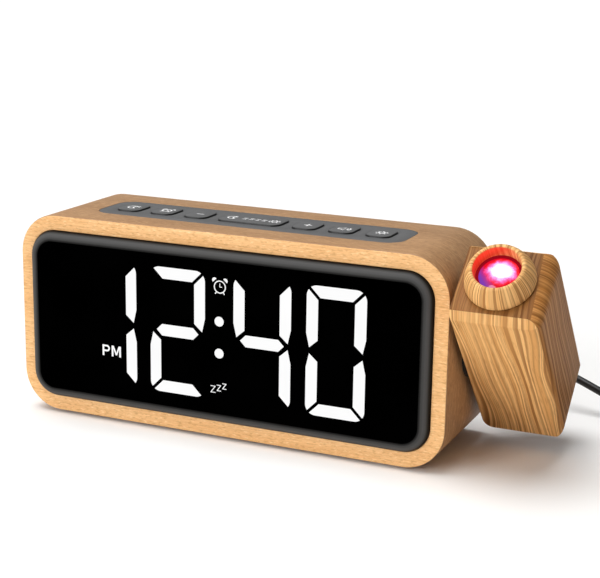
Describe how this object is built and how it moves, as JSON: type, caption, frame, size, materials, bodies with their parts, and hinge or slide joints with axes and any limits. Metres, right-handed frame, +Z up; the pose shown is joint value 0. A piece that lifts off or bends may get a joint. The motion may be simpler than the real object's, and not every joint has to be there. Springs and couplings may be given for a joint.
{
  "type": "projection alarm clock",
  "caption": "Rounded wood-look alarm clock with a big digit display, a row of keys on top and a tilting projector head with a focusing nozzle on one side.",
  "frame": {"origin": "centre of the case's footprint, on the surface that it stands on", "axes": "+X along the case to the viewer's right, towards the projector head; +Y to the back; +Z up"},
  "size_m": [0.2969, 0.119, 0.0924],
  "materials": {
    "beech_case": "satin beech-look foil, light at the front and browner on top",
    "striped_head": "satin striped-oak-look foil with dark lengthwise stripes",
    "black_window": "gloss black smoked window",
    "lit_white": "lit white, seen through the smoked window",
    "film": "matt white diffusing film",
    "white_plastic": "matt white",
    "circuit_board": "green solder mask",
    "led_white": "clear, pale yellow",
    "chip_black": "matt black",
    "ivory_plastic": "matt ivory",
    "screw_steel": "plain zinc-plated steel",
    "speaker_black": "matt black cone and frame",
    "rear_brown": "matt brown to match the case",
    "cell_steel": "bright steel",
    "strip_grey": "matt dark grey",
    "key_grey": "matt dark grey with black sides",
    "mat_rubber": "matt grey silicone",
    "foot_rubber": "matt black",
    "pivot_black": "matt black",
    "washer_rubber": "matt black",
    "lens_glass": "clear polished",
    "slide_glass": "dark image slide",
    "led_red": "clear red",
    "cord_black": "matt black flexible plastic",
    "usb_steel": "bright nickel-plated steel"
  },
  "bodies": {
    "case": {"case_sleeve": "beech_case", "foot_pad": "foot_rubber", "front_panel": "black_window", "digit_lights": "lit_white", "colon_lights": "lit_white", "mark_lights": "lit_white", "diffuser_film": "film", "segment_reflector": "white_plastic", "display_board": "circuit_board", "display_leds": "led_white", "main_board": "circuit_board", "board_chips": "chip_black", "cable_socket": "ivory_plastic", "board_screws": "screw_steel", "speaker": "speaker_black", "rear_cover": "rear_brown", "rear_screws": "screw_steel", "coin_cell": "cell_steel", "cell_holder": "ivory_plastic", "dc_socket": "chip_black", "key_strip": "strip_grey", "key_mat": "mat_rubber", "key_board": "circuit_board", "key_switches": "screw_steel", "pivot_bush": "pivot_black", "dc_plug": "cord_black", "plug_boot": "cord_black", "power_cord": "cord_black", "cord_coil": "cord_black", "cord_tail": "cord_black", "usb_plug": "cord_black", "usb_shell": "usb_steel", "cord_tie": "cord_black"},
    "head": {"pivot_shaft": "pivot_black", "pivot_washer": "washer_rubber", "pivot_spring": "screw_steel", "pivot_clip": "screw_steel", "head_shell": "striped_head", "head_cover": "striped_head", "head_screws": "screw_steel", "optics_tube": "pivot_black", "image_slide": "slide_glass", "condenser_lens": "lens_glass", "projector_led": "led_red", "projector_board": "circuit_board", "head_cable": "cord_black"},
    "focus": {"focus_ring": "striped_head", "focus_retainer": "screw_steel"},
    "barrel": {"lens_barrel": "pivot_black", "projection_lens": "lens_glass", "lens_retainer": "pivot_black"},
    "key_sleep_body": {"key_sleep": "key_grey"},
    "key_alarm_body": {"key_alarm": "key_grey"},
    "key_minus_body": {"key_minus": "key_grey"},
    "key_snooze_body": {"key_snooze": "key_grey"},
    "key_plus_body": {"key_plus": "key_grey"},
    "key_sound_body": {"key_sound": "key_grey"},
    "key_light_body": {"key_light": "key_grey"},
    "door": {"battery_door": "rear_brown"}
  },
  "joints": [
    {"name": "head_tilt", "type": "hinge", "parent": "case", "child": "head", "pos_m": [0.0974, 0, 0.0435], "axis": [1, 0, 0], "range_deg": [-132, 48]},
    {"name": "focus_turn", "type": "hinge", "parent": "head", "child": "focus", "pos_m": [0.1131, -0.02556, 0.07876], "axis": [0, -0.6691, 0.7431], "range_deg": [-120, 120]},
    {"name": "focus_travel", "type": "slide", "parent": "head", "child": "barrel", "axis": [0, -0.6691, 0.7431], "range_m": [-0.0016, 0.0016]},
    {"name": "sleep_press", "type": "slide", "parent": "case", "child": "key_sleep_body", "axis": [0, 0, -1], "range_m": [0, 0.0005], "stiffness_N_per_m": 2200},
    {"name": "alarm_press", "type": "slide", "parent": "case", "child": "key_alarm_body", "axis": [0, 0, -1], "range_m": [0, 0.0005], "stiffness_N_per_m": 2200},
    {"name": "minus_press", "type": "slide", "parent": "case", "child": "key_minus_body", "axis": [0, 0, -1], "range_m": [0, 0.0005], "stiffness_N_per_m": 2200},
    {"name": "snooze_press", "type": "slide", "parent": "case", "child": "key_snooze_body", "axis": [0, 0, -1], "range_m": [0, 0.0005], "stiffness_N_per_m": 2200},
    {"name": "plus_press", "type": "slide", "parent": "case", "child": "key_plus_body", "axis": [0, 0, -1], "range_m": [0, 0.0005], "stiffness_N_per_m": 2200},
    {"name": "sound_press", "type": "slide", "parent": "case", "child": "key_sound_body", "axis": [0, 0, -1], "range_m": [0, 0.0005], "stiffness_N_per_m": 2200},
    {"name": "light_press", "type": "slide", "parent": "case", "child": "key_light_body", "axis": [0, 0, -1], "range_m": [0, 0.0005], "stiffness_N_per_m": 2200},
    {"name": "door_slide", "type": "slide", "parent": "case", "child": "door", "axis": [-1, 0, 0], "range_m": [0, 0.018]}
  ],
  "couplings": [
    {"joint": "focus_turn", "follows": "focus_travel", "rad_per_m": 1309}
  ]
}
